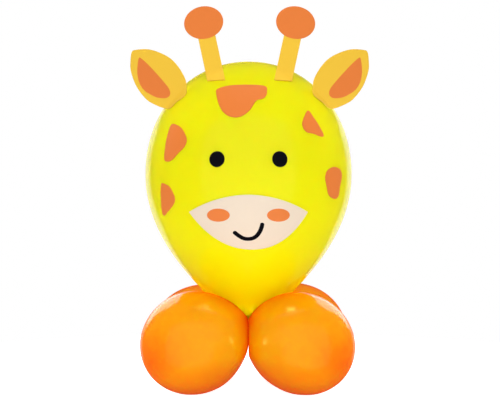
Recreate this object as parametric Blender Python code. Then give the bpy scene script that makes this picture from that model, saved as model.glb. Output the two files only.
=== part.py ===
"""Balloon giraffe: a table-top figure of five tied balloons with card ears and horns.

One large pear-shaped balloon is the head.  Its neck is pulled down between four small
balloons, tied in a square, that are the feet.  Two ears and two horns of card are stuck
to the crown, and flat stickers make the coat patches, the eyes and the muzzle.

Metres, +Z up.  The giraffe looks towards -Y, and +X is to the right of someone who
faces it.  The origin is on the floor under the knot in the middle of the feet.
"""
import math

import bmesh
import bpy
import numpy as np

MM = 0.001

# ---- Driving dimensions ----
HEAD_DIAMETER = 250 * MM          # across the widest ring of the head balloon
FOOT_DIAMETER = 119 * MM          # a small balloon, filled a little under its size
KNOT_HEIGHT = 84 * MM             # where the five necks meet, above the floor
GAP = 0.3 * MM                    # kept between pieces that touch

# ---- Shape of a filled balloon, in parts of its radius ----
HEAD_CROWN = 1.082                # height of the crown above the widest ring
HEAD_TAPER = 1.502                # length of the taper, from the widest ring to its tip
HEAD_PULL = 15.7 * MM             # how far that tip lies below the knot
CROWN_POWER = 2.07                # 2 is an ellipse, a little more is fuller
FOOT_CROWN = 1.12
FOOT_TAPER = 1.475
FOOT_TIP_RADIUS = 3.2 * MM        # the gathered neck of a foot, at the knot
FOOT_TIP_ROOM = 4.2 * MM          # kept between the end of that neck and the knot's axis

# Each foot: side (-1 left, 1 right), front or back (-1 front, 1 back), size, the reach
# from the knot's axis to its widest ring in parts of its radius, how full its taper is,
# and the depth in millimetres of the flat that it stands on.
FEET = {
    "front_left": (-1, -1, 1.006, 1.47, 1.81, 0.6),
    "front_right": (1, -1, 0.982, 1.50, 2.25, 1.2),
    "back_left": (-1, 1, 0.995, 1.46, 2.25, 1.2),
    "back_right": (1, 1, 1.012, 1.43, 2.25, 1.2),
}

# ---- The head balloon's own neck, which hangs through the knot ----
NECK_RISE = 45 * MM               # above the knot, where the neck's finer rings start
NECK_FOOT = 8 * MM                # above the knot, the neck's lowest ring
TAIL_TOP = 3.5 * MM               # above the knot, where the neck is as thin as the tail
TAIL_RADIUS = 2.2 * MM
TAIL_DROP = 13 * MM               # from the knot to where the nozzle starts to flare
NOZZLE_RADIUS = 5.6 * MM
NOZZLE_LENGTH = 11 * MM
NOZZLE_ROLL = 0.8 * MM            # half the height of the rolled rim round its mouth
SQUEEZE_GAP = 0.6 * MM            # between the squeezed neck and the feet
SQUEEZE_BLEND = 6 * MM            # how softly the head bends away from the feet
SQUEEZE_TOP = 130 * MM            # above the floor, clear of the tops of the feet
MARCH_STEP = 0.25 * MM            # the step of the search for the surface of a foot

# ---- Card and stickers ----
CARD_THICKNESS = 0.8 * MM
CARD_SHIFT = 1.4 * MM             # the cards sit a touch towards +X
CARD_BEND = 8 * MM                # how softly a card's root bends onto the balloon
CARD_GAP = 0.6 * MM
STICKER_THICKNESS = 0.3 * MM
STICKER_GAP = 0.4 * MM

HORN_ROOT = (39.0 * MM, 364.4 * MM)
HORN_DEPTH = 61 * MM              # how far forward of the balloon's axis its root is
HORN_LEAN = math.radians(12.3)    # outwards
HORN_LEAN_BACK = 0.22             # backwards, in mm for each mm of height
HORN_STEM = 71.7 * MM             # from the root to the middle of the knob
HORN_HALF_WIDTH = 10.0 * MM
KNOB_HALF_WIDTH = 23.2 * MM
KNOB_HALF_HEIGHT = 19.2 * MM

EAR_CENTRE = (107.8 * MM, 368.2 * MM)
EAR_DEPTH = 46 * MM
EAR_SWEEP = 0.18                  # backwards, in mm for each mm outwards
# The outline round an ear, clockwise from its outer tip, in millimetres.
EAR_OUTLINE = (
    (-25, 34.5), (-9, 34), (11, 26), (23, 15), (32, 0), (34, -11), (33, -21), (23, -28.5),
    (12, -36), (-8, -28), (-18, -19), (-25.5, -8), (-30, 2.5), (-33, 12), (-33, 20), (-30, 31),
)

EYE_AZIMUTH = math.radians(16.4)
EYE_HEIGHT = 270.6 * MM
EYE_DIAMETER = 18 * MM

MUZZLE_HEIGHT = 199.2 * MM
MUZZLE_HALF_WIDTH = 72.5 * MM
MUZZLE_CORNER = 13 * MM           # the corners, above the muzzle's middle height
MUZZLE_TOP = 20 * MM              # rise of the upper edge over the corners
MUZZLE_BOTTOM = 47 * MM           # drop of the lower edge under the corners

# Coat patches: azimuth from the front, height, and the outline in millimetres along
# the surface, sideways and up.
PATCHES = {
    "forehead": (-4.6, 338.8, (
        (-28, 18), (-9, 23), (24, 22), (29, 12), (26, 2.5), (17, -2), (11.5, -13),
        (4, -21), (-6, -24), (-17, -20), (-25, -8), (-30, 10))),
    "left_upper": (-45.0, 288.8, (
        (-10, 25), (7, 20), (19.5, 7), (19, -3), (10, -11), (1.5, -18), (-6, -20),
        (-13, -17), (-14, 0), (-13.5, 16))),
    "left_lower": (-51.6, 226.8, (
        (-2, 18), (11.5, 13), (17.5, 1), (12, -8), (-9, -20), (-14, -17), (-10, -1),
        (-6, 14.5))),
    "right_upper": (39.3, 309.9, (
        (0, 19.5), (5, 11), (10.5, 0), (14.5, -11), (9, -13), (-2, -10), (-12, -8),
        (-15, 1), (-9, 11))),
    "right_lower": (52.8, 245.2, (
        (-2, 18), (11.5, 15.5), (16.5, 8), (13, -5.5), (12, -16), (3.5, -19),
        (-8.5, -15), (-14, -6), (-18, 5.5), (-14, 14))),
}

# ---- How finely the solids are divided ----
HEAD_SIDES = 32
FOOT_SIDES = 24
EAR_POINTS = 28
PATCH_POINTS = 22
EYE_POINTS = 16
SHARP_ANGLE = math.radians(40)    # edges sharper than this aren't shaded smooth
MERGE_DISTANCE = 0.01 * MM

# ---- Colours, sRGB hex, and roughness ----
COLOURS = {
    "head_latex": ("F1EC19", 0.25),
    "foot_latex": ("F8941A", 0.22),
    "card": ("FDCD40", 0.55),
    "orange_vinyl": ("F2853E", 0.5),
    "cream_vinyl": ("FAE9D4", 0.5),
    "black_vinyl": ("08051E", 0.45),
}

HEAD_RADIUS = HEAD_DIAMETER / 2
HEAD_LENGTH = HEAD_TAPER * HEAD_RADIUS
EQUATOR_HEIGHT = KNOT_HEIGHT - HEAD_PULL + HEAD_LENGTH
CROWN_HEIGHT = HEAD_CROWN * HEAD_RADIUS


# ---------------------------------------------------------------- small helpers

def linear(hex_colour):
    """Turn an sRGB hex colour into linear red, green, blue and alpha."""
    channels = [int(hex_colour[i:i + 2], 16) / 255 for i in (0, 2, 4)]
    flat = [c / 12.92 if c <= 0.04045 else ((c + 0.055) / 1.055) ** 2.4 for c in channels]
    return (*flat, 1.0)


def material(name):
    """The Principled material of this name, made on first use."""
    found = bpy.data.materials.get(name)
    if found:
        return found
    colour, roughness = COLOURS[name]
    made = bpy.data.materials.new(name)
    made.use_nodes = True
    shader = made.node_tree.nodes["Principled BSDF"]
    shader.inputs["Base Color"].default_value = linear(colour)
    shader.inputs["Roughness"].default_value = roughness
    shader.inputs["Metallic"].default_value = 0.0
    made.diffuse_color = linear(colour)
    return made


def soft_min(a, b, width):
    """The smaller of a and b, rounded where they are less than width apart."""
    near = np.maximum(width - np.abs(a - b), 0) / width
    return np.minimum(a, b) - near ** 2 * width / 4


def soft_max(a, b, width):
    """The larger of a and b, rounded where they are less than width apart."""
    return -soft_min(-a, -b, width)


def smooth_outline(points, count):
    """A closed curve through the points (Catmull-Rom), as count points in metres."""
    knots = np.array(points, float) * MM
    turn = np.arange(count) * len(knots) / count
    start = turn.astype(int)
    t = (turn - start)[:, None]
    p0, p1, p2, p3 = (knots[(start + k) % len(knots)] for k in (-1, 0, 1, 2))
    return 0.5 * (2 * p1 + (p2 - p0) * t + (2 * p0 - 5 * p1 + 4 * p2 - p3) * t ** 2
                  + (3 * p1 - p0 - 3 * p2 + p3) * t ** 3)


def finish_object(name, mesh_data, slot, place, parent):
    """Turn a bmesh in world metres into a named object whose origin is at place."""
    bmesh.ops.remove_doubles(mesh_data, verts=mesh_data.verts, dist=MERGE_DISTANCE)
    bmesh.ops.recalc_face_normals(mesh_data, faces=mesh_data.faces)
    bmesh.ops.translate(mesh_data, verts=mesh_data.verts, vec=[-c for c in place])
    mesh = bpy.data.meshes.new(name)
    mesh_data.to_mesh(mesh)
    mesh_data.free()
    mesh.materials.append(material(slot))
    mesh.shade_smooth()
    mesh.set_sharp_from_angle(angle=SHARP_ANGLE)
    made = bpy.data.objects.new(name, mesh)
    made.location = place
    made.parent = parent
    bpy.context.scene.collection.objects.link(made)
    return made


# ---------------------------------------------------------------- balloon shapes

def head_radius_at(height):
    """Radius of the free head balloon at a height above the floor.

    The crown is a superellipse, and the taper below the widest ring falls off with
    the square of the distance from it.
    """
    above = np.clip((height - EQUATOR_HEIGHT) / CROWN_HEIGHT, 0, 1)
    below = np.clip((EQUATOR_HEIGHT - height) / HEAD_LENGTH, 0, 1)
    crown = (1 - above ** CROWN_POWER) ** (1 / CROWN_POWER)
    return HEAD_RADIUS * crown * (1 - below ** 2)


def foot_frame(name):
    """Middle of the foot's widest ring, the unit axis away from the knot, its radius."""
    side, front, size, reach, _, squash = FEET[name]
    radius = size * FOOT_DIAMETER / 2
    reach *= radius
    tilt = 0.0
    for _ in range(12):
        lowest = math.hypot(radius * math.cos(tilt), FOOT_CROWN * radius * math.sin(tilt))
        height = lowest - squash * MM
        tilt = math.atan2(KNOT_HEIGHT - height, reach)
    diagonal = math.sqrt(0.5)
    centre = np.array([side * reach * diagonal, front * reach * diagonal, height])
    axis = centre - (0, 0, KNOT_HEIGHT)
    return centre, axis / np.linalg.norm(axis), radius


def foot_radius_at(name, along, radius):
    """Radius of a foot balloon at a distance along its axis from the widest ring."""
    fullness = FEET[name][4]
    crown = np.sqrt(1 - np.clip(along / (FOOT_CROWN * radius), 0, 1) ** 2)
    taper = 1 - np.clip(-along / (FOOT_TAPER * radius), 0, 1) ** fullness
    return radius * crown * taper


def free_radius(height, azimuth):
    """How far a point may be from the vertical axis before it meets a foot.

    Each ray starts at the axis and goes outwards in short steps until it is inside
    the turned shape of any foot.
    """
    steps = np.arange(0, HEAD_RADIUS, MARCH_STEP)
    points = np.stack([steps * math.cos(azimuth), steps * math.sin(azimuth),
                       np.full_like(steps, height)], -1)
    inside = np.zeros(len(steps), bool)
    for name in FEET:
        centre, axis, radius = foot_frame(name)
        along = (points - centre) @ axis
        off_axis = np.linalg.norm(points - centre - along[:, None] * axis, axis=1)
        within = along > -FOOT_TAPER * radius
        inside |= within & (off_axis < foot_radius_at(name, along, radius))
    return steps[inside.argmax()] if inside.any() else 2 * HEAD_RADIUS


def turned(profile, sides):
    """A bmesh turned about Z from a profile of (radius, height), bottom or top first."""
    solid = bmesh.new()
    verts = [solid.verts.new((radius, 0, height)) for radius, height in profile]
    edges = [solid.edges.new(pair) for pair in zip(verts, verts[1:])]
    bmesh.ops.spin(solid, geom=verts + edges, axis=(0, 0, 1), cent=(0, 0, 0),
                   angle=math.tau, steps=sides, use_merge=True)
    bmesh.ops.remove_doubles(solid, verts=solid.verts, dist=MERGE_DISTANCE)
    return solid


def cut_flat(solid, point, outwards):
    """Cut away what lies beyond a plane, and close the cut with a flat face."""
    geometry = solid.verts[:] + solid.edges[:] + solid.faces[:]
    cut = bmesh.ops.bisect_plane(solid, geom=geometry, dist=MERGE_DISTANCE, plane_co=point,
                                 plane_no=outwards, clear_outer=True)
    rim = [edge for edge in cut["geom_cut"] if isinstance(edge, bmesh.types.BMEdge)]
    if rim:
        bmesh.ops.contextual_create(solid, geom=rim)


# ---------------------------------------------------------------- balloons

def head_profile():
    """(radius, height) of the free head balloon from its crown to the nozzle's mouth."""
    crown_angles = np.radians(np.linspace(90, 0, 9))
    power = 2 / CROWN_POWER
    crown = [(HEAD_RADIUS * max(math.cos(a), 0) ** power,
              EQUATOR_HEIGHT + CROWN_HEIGHT * math.sin(a) ** power) for a in crown_angles]
    crown[0] = (0, EQUATOR_HEIGHT + CROWN_HEIGHT)
    belly = np.linspace(EQUATOR_HEIGHT, KNOT_HEIGHT + NECK_RISE, 9)[1:]
    neck = np.linspace(belly[-1], KNOT_HEIGHT + NECK_FOOT, 9)[1:]
    taper = [(float(head_radius_at(z)), z) for z in (*belly, *neck)]
    flare = KNOT_HEIGHT - TAIL_DROP
    mouth = flare - NOZZLE_LENGTH
    tail = [
        (TAIL_RADIUS, KNOT_HEIGHT + TAIL_TOP),
        (TAIL_RADIUS, flare),
        (NOZZLE_RADIUS - 2 * NOZZLE_ROLL, mouth + 2 * NOZZLE_ROLL),
        (NOZZLE_RADIUS, mouth + NOZZLE_ROLL),
        (NOZZLE_RADIUS - NOZZLE_ROLL, mouth),
        (0, mouth + NOZZLE_ROLL),
    ]
    return crown + taper + tail


def head_balloon(parent):
    """The head: turned, then squeezed inwards wherever the feet press on its neck.

    Each point takes the least room found at it and half a side to its left and right,
    so that the flat sides between the points clear the feet too.
    """
    solid = turned(head_profile(), HEAD_SIDES)
    half_side = math.pi / HEAD_SIDES
    for vert in solid.verts:
        radius = math.hypot(vert.co.x, vert.co.y)
        if KNOT_HEIGHT < vert.co.z < SQUEEZE_TOP:
            azimuth = math.atan2(vert.co.y, vert.co.x)
            room = min(free_radius(vert.co.z, azimuth + turn)
                       for turn in (-half_side, 0, half_side)) - SQUEEZE_GAP
            squeezed = float(soft_min(radius, room, SQUEEZE_BLEND))
            scale = max(squeezed, TAIL_RADIUS) / radius
            vert.co.x *= scale
            vert.co.y *= scale
    return finish_object("head_balloon", solid, "head_latex", (0, 0, EQUATOR_HEIGHT), parent)


def foot_balloon(name, parent):
    """A foot: a small pear on its side, flat underneath and against its neighbours."""
    centre, axis, radius = foot_frame(name)
    crown_angles = np.radians(np.linspace(90, 0, 7))
    crown = [(radius * math.cos(a), FOOT_CROWN * radius * math.sin(a)) for a in crown_angles]
    crown[0] = (0, FOOT_CROWN * radius)
    fullness = FEET[name][4]
    gathered = FOOT_TAPER * radius * (1 - FOOT_TIP_RADIUS / radius) ** (1 / fullness)
    tip = min(gathered, np.linalg.norm(centre - (0, 0, KNOT_HEIGHT)) - FOOT_TIP_ROOM)
    taper = [(float(foot_radius_at(name, -d, radius)), -d)
             for d in np.linspace(0, tip, 9)[1:]]
    solid = turned(crown + taper + [(0, -tip)], FOOT_SIDES)
    up = np.array([0, 0, 1.0])
    sideways = np.cross(up, axis)
    sideways /= np.linalg.norm(sideways)
    upwards = np.cross(axis, sideways)
    for vert in solid.verts:
        x, y, z = vert.co
        vert.co = centre + sideways * x + upwards * y + axis * z
    side, front = FEET[name][:2]
    cut_flat(solid, (0, 0, 0), (0, 0, -1))
    cut_flat(solid, (side * GAP / 2, 0, 0), (-side, 0, 0))
    cut_flat(solid, (0, front * GAP / 2, 0), (0, -front, 0))
    return finish_object("foot_balloon_" + name, solid, "foot_latex", tuple(centre), parent)


# ---------------------------------------------------------------- sheets

def star_mesh(outline, rings):
    """Flat points and faces that fill an outline with rings shrunk to its middle."""
    count = len(outline)
    middle = outline.mean(axis=0)
    points = [middle]
    for ring in range(1, rings + 1):
        points.extend(middle + (outline - middle) * ring / rings)
    faces = [(0, 1 + k, 1 + (k + 1) % count) for k in range(count)]
    for ring in range(rings - 1):
        inner = 1 + ring * count
        outer = inner + count
        faces += [(inner + k, outer + k, outer + (k + 1) % count, inner + (k + 1) % count)
                  for k in range(count)]
    rim = [1 + (rings - 1) * count + k for k in range(count)]
    return points, faces, rim


def ruled_mesh(stations, low, high, columns):
    """Flat points and faces between two edges, low(a) and high(a), at each station a."""
    points = []
    for a in stations:
        for b in np.linspace(low(a), high(a), columns + 1):
            points.append(np.array([a, b]))
    width = columns + 1
    rows = len(stations)
    faces = [(r * width + c, r * width + c + 1, (r + 1) * width + c + 1, (r + 1) * width + c)
             for r in range(rows - 1) for c in range(columns)]
    rim = ([c for c in range(columns)] + [r * width + columns for r in range(rows - 1)]
           + [(rows - 1) * width + columns - c for c in range(columns)]
           + [(rows - 1 - r) * width for r in range(rows - 1)])
    return points, faces, rim


def thick_sheet(name, flat, place_point, thickness, slot, parent):
    """A closed sheet: the flat mesh put in place twice, with a wall round its rim."""
    points, faces, rim = flat
    solid = bmesh.new()
    back = [solid.verts.new(place_point(p[0], p[1], 0)) for p in points]
    front = [solid.verts.new(place_point(p[0], p[1], thickness)) for p in points]
    for face in faces:
        solid.faces.new([front[i] for i in face])
        solid.faces.new([back[i] for i in reversed(face)])
    for i, j in zip(rim, rim[1:] + rim[:1]):
        solid.faces.new([back[i], back[j], front[j], front[i]])
    bmesh.ops.remove_doubles(solid, verts=solid.verts, dist=MERGE_DISTANCE)
    middle = sum((v.co for v in solid.verts), solid.verts[:][0].co * 0) / len(solid.verts)
    return finish_object(name, solid, slot, tuple(middle), parent)


def meridian():
    """Heights and radii down the head, with the length along the surface from the equator."""
    height = np.linspace(KNOT_HEIGHT, EQUATOR_HEIGHT + CROWN_HEIGHT, 4001)
    radius = head_radius_at(height)
    length = np.concatenate([[0], np.cumsum(np.hypot(np.diff(height), np.diff(radius)))])
    length -= np.interp(EQUATOR_HEIGHT, height, length)
    return height, radius, length


def on_head(azimuth, start_height, lift):
    """A function that lays a flat point (sideways, up) on the head, lifted off it.

    The point goes up the surface by its second value, then round the balloon by its
    first, and stands off along the surface's outward direction.
    """
    heights, radii, lengths = meridian()
    start = np.interp(start_height, heights, lengths)

    def place_point(sideways, up, thickness):
        length = start + up
        height = np.interp(length, lengths, heights)
        radius = np.interp(length, lengths, radii)
        step = 0.5 * MM
        rise = np.interp(length + step, lengths, heights) - np.interp(length - step, lengths, heights)
        grow = np.interp(length + step, lengths, radii) - np.interp(length - step, lengths, radii)
        size = math.hypot(rise, grow)
        turn = azimuth + sideways / radius
        out = radius + rise / size * (lift + thickness)
        return (out * math.sin(turn), -out * math.cos(turn),
                height - grow / size * (lift + thickness))

    return place_point


def on_card(middle, depth, lean, sweep, lean_back, side):
    """A function that puts a flat point (sideways, up) on a card.

    The card is flat, but where the balloon's front is further forward than its plane
    it bends softly and lies on the balloon.
    """
    def depth_at(x, z):
        plane = depth - sweep * (side * x - middle[0]) - lean_back * (z - middle[1])
        surface = math.sqrt(max(float(head_radius_at(z)) ** 2 - x ** 2, 0))
        return float(soft_max(plane, surface + CARD_GAP, CARD_BEND))

    def place_point(sideways, up, thickness):
        x = side * (middle[0] + sideways * math.cos(lean) + up * math.sin(lean)) + CARD_SHIFT
        z = middle[1] - sideways * math.sin(lean) + up * math.cos(lean)
        step = 0.2 * MM
        slope_x = (depth_at(x + step, z) - depth_at(x - step, z)) / (2 * step)
        slope_z = (depth_at(x, z + step) - depth_at(x, z - step)) / (2 * step)
        size = math.sqrt(1 + slope_x ** 2 + slope_z ** 2)
        return (x - slope_x / size * thickness, -depth_at(x, z) - thickness / size,
                z - slope_z / size * thickness)

    return place_point


def ear(side_name, parent):
    """A rounded leaf of card whose inner end lies on the balloon."""
    side = -1 if side_name == "left" else 1
    outline = smooth_outline(EAR_OUTLINE, EAR_POINTS) * (-1, 1)
    return thick_sheet("ear_" + side_name, star_mesh(outline, 5),
                       on_card(EAR_CENTRE, EAR_DEPTH, 0, EAR_SWEEP, 0, side),
                       CARD_THICKNESS, "card", parent)


def horn(side_name, parent):
    """A straight stem with an oval knob, cut from one piece of card."""
    side = -1 if side_name == "left" else 1
    junction = math.asin(-math.sqrt(1 - (HORN_HALF_WIDTH / KNOB_HALF_WIDTH) ** 2))
    stem_top = HORN_STEM + KNOB_HALF_HEIGHT * math.sin(junction)
    knob = HORN_STEM + KNOB_HALF_HEIGHT * np.sin(np.linspace(junction, math.pi / 2, 10))
    stations = [*np.linspace(0, stem_top, 10)[:-1], *knob]

    def half_width(up):
        across = 1 - min(((up - HORN_STEM) / KNOB_HALF_HEIGHT) ** 2, 1)
        oval = KNOB_HALF_WIDTH * math.sqrt(across)
        return max(oval, HORN_HALF_WIDTH) if up < HORN_STEM else oval

    flat = ruled_mesh(stations, lambda a: -half_width(a), half_width, 4)
    place_point = on_card(HORN_ROOT, HORN_DEPTH, HORN_LEAN, 0, HORN_LEAN_BACK, side)
    return thick_sheet("horn_" + side_name, flat, lambda a, b, t: place_point(b, a, t),
                       CARD_THICKNESS, "card", parent)


def patch(name, parent):
    """An orange coat patch of vinyl on the head."""
    degrees, height, points = PATCHES[name]
    outline = smooth_outline(points, PATCH_POINTS)
    place_point = on_head(math.radians(degrees), height * MM, STICKER_GAP)
    return thick_sheet("patch_" + name, star_mesh(outline, 2), place_point,
                       STICKER_THICKNESS, "orange_vinyl", parent)


def eye(side_name, parent):
    """A round black dot."""
    side = -1 if side_name == "left" else 1
    angles = np.arange(EYE_POINTS) * math.tau / EYE_POINTS
    outline = np.stack([np.cos(angles), np.sin(angles)], -1) * EYE_DIAMETER / 2
    place_point = on_head(side * EYE_AZIMUTH, EYE_HEIGHT, STICKER_GAP)
    return thick_sheet("eye_" + side_name, star_mesh(outline, 1), place_point,
                       STICKER_THICKNESS, "black_vinyl", parent)


def muzzle(parent):
    """A cream lens with pointed corners, wrapped across the lower front of the head."""
    stations = MUZZLE_HALF_WIDTH * np.sin(np.linspace(-math.pi / 2, math.pi / 2, 19))

    def lower(a):
        return MUZZLE_CORNER - MUZZLE_BOTTOM * (1 - abs(a / MUZZLE_HALF_WIDTH) ** 2.1)

    def upper(a):
        return MUZZLE_CORNER + MUZZLE_TOP * (1 - abs(a / MUZZLE_HALF_WIDTH) ** 1.9)

    place_point = on_head(0, MUZZLE_HEIGHT, STICKER_GAP)
    return thick_sheet("muzzle", ruled_mesh(stations, lower, upper, 5), place_point,
                       STICKER_THICKNESS, "cream_vinyl", parent)


def main():
    """Clear the scene and build every piece under one empty."""
    for old in list(bpy.data.objects):
        bpy.data.objects.remove(old)
    giraffe = bpy.data.objects.new("giraffe", None)
    bpy.context.scene.collection.objects.link(giraffe)
    head_balloon(giraffe)
    for name in FEET:
        foot_balloon(name, giraffe)
    for side_name in ("left", "right"):
        ear(side_name, giraffe)
        horn(side_name, giraffe)
        eye(side_name, giraffe)
    for name in PATCHES:
        patch(name, giraffe)
    muzzle(giraffe)


main()
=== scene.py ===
"""Looks of a table-top giraffe made of tied balloons, with card ears and horns and stickers.

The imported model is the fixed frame.  Each balloon, card and sticker in it is replaced
here by a fine surface of the same shape, worked out with numpy on a grid.
Metres, +Z up.  The giraffe looks towards -Y, and +X is to the right of someone who
faces it.
"""

import math
from collections import namedtuple

import bpy
import numpy as np
from bpy.props import FloatProperty, FloatVectorProperty, IntProperty, PointerProperty
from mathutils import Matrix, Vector


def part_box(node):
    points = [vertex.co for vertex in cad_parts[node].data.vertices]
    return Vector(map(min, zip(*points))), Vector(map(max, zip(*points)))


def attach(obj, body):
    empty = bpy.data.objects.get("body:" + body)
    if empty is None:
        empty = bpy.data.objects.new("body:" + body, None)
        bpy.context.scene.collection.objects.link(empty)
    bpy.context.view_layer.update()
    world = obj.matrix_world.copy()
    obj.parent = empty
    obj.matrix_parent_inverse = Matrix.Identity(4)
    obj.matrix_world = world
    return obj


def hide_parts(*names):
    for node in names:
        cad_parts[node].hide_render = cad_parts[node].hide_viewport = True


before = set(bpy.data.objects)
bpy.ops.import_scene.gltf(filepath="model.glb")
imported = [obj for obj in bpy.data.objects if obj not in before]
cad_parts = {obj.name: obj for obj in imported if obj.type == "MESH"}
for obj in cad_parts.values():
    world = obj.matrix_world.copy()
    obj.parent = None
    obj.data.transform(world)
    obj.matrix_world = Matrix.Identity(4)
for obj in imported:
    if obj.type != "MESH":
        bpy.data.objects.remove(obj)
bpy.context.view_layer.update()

bl_info = {
    "name": "Balloon giraffe",
    "version": (1, 0, 0),
    "blender": (4, 5, 0),
    "location": "3D View > Sidebar > Giraffe",
    "description": "Builds the balloons, card and stickers of a table-top giraffe",
    "category": "Add Mesh",
}

MM = 0.001
DIAGONAL = math.sqrt(0.5)
SIDES = ((-1, "left"), (1, "right"))

# ---- From the frame ----
HEAD_LOW, HEAD_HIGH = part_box("head_balloon")
HEAD_RADIUS = (HEAD_HIGH.x - HEAD_LOW.x) / 2
EYE_LOW, EYE_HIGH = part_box("eye_right")

# ---- The head ----
# How high its crown is in the frame, in parts of its radius, and how square it is.
HEAD_CROWN = 1.082
CROWN_POWER = 2.07
EQUATOR_HEIGHT = HEAD_HIGH.z - HEAD_CROWN * HEAD_RADIUS
# A little higher than in the frame, where the horns stand on it.
HEAD_TOP = HEAD_HIGH.z + 1.4 * MM
# Heights above the knot: the end of the neck, where its rows start to lie closer, where
# its pleats start, and where its latex starts to thicken and its colour turns brighter,
# as painted light in the neck's shade between the feet.
NECK_END = 3.8 * MM
CLOSER_ROWS = 45 * MM
PLEATS_START = 26 * MM
THICKER_AND_LIT = 85 * MM
# Over this height the pleats grow to their full depth.
PLEATS_GROW = 24 * MM
# The feet press on the neck down to this far above the knot.
PRESSED_TO = 2.4 * MM
FUNNEL_SAG = 1.3 * MM
FLARE_POWER = 1.6
MOUTH_DEPTH = 6 * MM
# The thick spot on the crown: how wide it is, and how thick.
CROWN_SPOT = 9 * MM
CROWN_SPOT_THICK = 0.5
# The feet reach no higher than this many of their diameters.
FEET_REACH = 1.1
# Rows of the grid in each stretch of the head, counted with both of its ends.
HEAD_ROWS = {"crown": 72, "belly": 80, "neck": 70, "funnel": 24, "tail": 14, "flare": 16,
             "bead": 18, "mouth": 10}

# ---- The feet ----
FOOT_ROWS = {"crown": 60, "taper": 76}
# The lengths of the crown and the taper, in parts of the radius.
FOOT_CROWN = 1.12
FOOT_TAPER = 1.475
# The least radius of the tip, and the room that it leaves for the knot.
FOOT_TIP_RADIUS = 3.2 * MM
FOOT_TIP_ROOM = 4.2 * MM
# How sharply the extra width is turned to the neighbours, and the part of the radius
# along the axis over which it grows.
PRESS_POWER = 6
PRESS_GROWTH = 0.6
# The part of the way to the tip where the pleats start, and where the colour deepens:
# thicker latex, and partly painted shade of the crease between the feet.
FOOT_PLEATS_START = 0.55
FOOT_NECK_DEEPER = 0.25
# How deep the colour is over the crown and at its very tip, each with its spread in degrees.
# The tip's is thick latex; the wide one is partly thicker latex and partly painted shade
# on the foot's lower outer side, where its crown faces.
FOOT_SPOT, FOOT_SPOT_SPREAD = 0.72, 33
FOOT_TIP_SPOT, FOOT_TIP_SPREAD = 0.06, 5
# How much paler the upper side of the neck is, as painted light from the yellow head above
# it, and the sine of the turn where it all is.
NECK_TOP_PAINTED_LIGHT = 0.9
NECK_TOP = 0.8
# Painted shade underneath, as a deeper colour: how strong it is, below what height it
# starts, and over what height it grows.
UNDERSIDE_SHADE, UNDERSIDE_SHADE_HEIGHT, UNDERSIDE_SHADE_GROWTH = 0.4, 50 * MM, 25 * MM
FLOOR_BLEND = 1 * MM

# Side and front are -1 on the left and in front.  Reach is from the knot's axis to the
# widest ring, in parts of the foot's radius, fullness is the power of its taper, and flat
# is the depth of the flat that it stands on.  The front ones come first.
Foot = namedtuple("Foot", "side front size reach fullness flat")
FEET = {
    "front_left": Foot(-1, -1, 1.006, 1.47, 1.81, 0.6 * MM),
    "front_right": Foot(1, -1, 0.982, 1.50, 2.25, 1.2 * MM),
    "back_left": Foot(-1, 1, 0.995, 1.46, 2.25, 1.2 * MM),
    "back_right": Foot(1, 1, 1.012, 1.43, 2.25, 1.2 * MM),
}

# ---- Card and stickers ----
# Places are sideways and up, and a depth is how far the card lies in front of the middle.
# A lean back or a sweep is the depth that it loses for each metre up or outwards.
HORN_ROOT = (38.7 * MM, 363.2 * MM)
HORN_DEPTH = 61 * MM
HORN_LEAN = math.radians(12.3)
HORN_LEAN_BACK = 0.22
EAR_CENTRE = (107.8 * MM, 368.2 * MM)
EAR_DEPTH = 46 * MM
EAR_SWEEP = 0.18
# All the card is this far to the right of the middle.
CARD_SHIFT = 1.4 * MM
# Round an ear and round the print inside it, from the outer tip, in millimetres: outwards
# is negative.
EAR_OUTLINE = (
    (-26.5, 34.4), (-9, 34.2), (11, 26), (23, 15), (32, 0), (34, -11), (33, -21),
    (23, -28.5), (12, -36), (-8, -28.6), (-18, -20), (-26, -8.6), (-30.6, 2.5), (-33, 12),
    (-33, 21), (-31.6, 31.4),
)
INNER_EAR_OUTLINE = (
    (-22.7, 24.6), (-24.4, 15.3), (-24.5, 5.1), (-22, -5.1), (-16.7, -13.2), (-9.6, -18.3),
    (-1.2, -22.3), (8, -23.4), (12.9, -21.6), (14.7, -17.4), (13, -11.9), (9, -6.5),
    (2.1, 1.7), (-4.8, 9.2), (-11.7, 16.6), (-19.3, 23.5),
)

# Coat patches: azimuth from the front in degrees, height, and the outline along the
# surface, sideways and up, in millimetres.
PATCHES = {
    "forehead": (-4.6, 338.8, (
        (-28, 18), (-9, 23), (24, 22), (29, 12), (26, 2.5), (17, -2), (11.5, -13),
        (4, -21), (-6, -24), (-17, -20), (-25, -8), (-30, 10))),
    "left_upper": (-45.0, 288.8, (
        (-10, 25), (7, 20), (19.5, 7), (19, -3), (10, -11), (1.5, -18), (-6, -20),
        (-13, -17), (-14, 0), (-13.5, 16))),
    "left_lower": (-51.6, 226.8, (
        (-2, 18), (11.5, 13), (17.5, 1), (12, -8), (-9, -20), (-14, -17), (-10, -1),
        (-6, 14.5))),
    "right_upper": (39.3, 309.9, (
        (0, 19.5), (5, 11), (10.5, 0), (14.5, -11), (9, -13), (-2, -10), (-12, -8),
        (-15, 1), (-9, 11))),
    "right_lower": (52.8, 245.2, (
        (-2, 18), (11.5, 15.5), (16.5, 8), (13, -5.5), (12, -16), (3.5, -19),
        (-8.5, -15), (-14, -6), (-18, 5.5), (-14, 14))),
}

# The muzzle's corners, and how far its curves rise and hang from them.
MUZZLE_HEIGHT = 199.2 * MM
MUZZLE_HALF_WIDTH = 71.7 * MM
MUZZLE_CORNER = 13 * MM
MUZZLE_TOP, MUZZLE_TOP_POWER = 20 * MM, 1.9
MUZZLE_BOTTOM, MUZZLE_BOTTOM_POWER = 47 * MM, 2.1
# How far to one side the lower curve hangs, in parts of the half width.
MUZZLE_LEAN = 0.055
NOSTRIL_PLACE = (34.4 * MM, 9.4 * MM)
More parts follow.
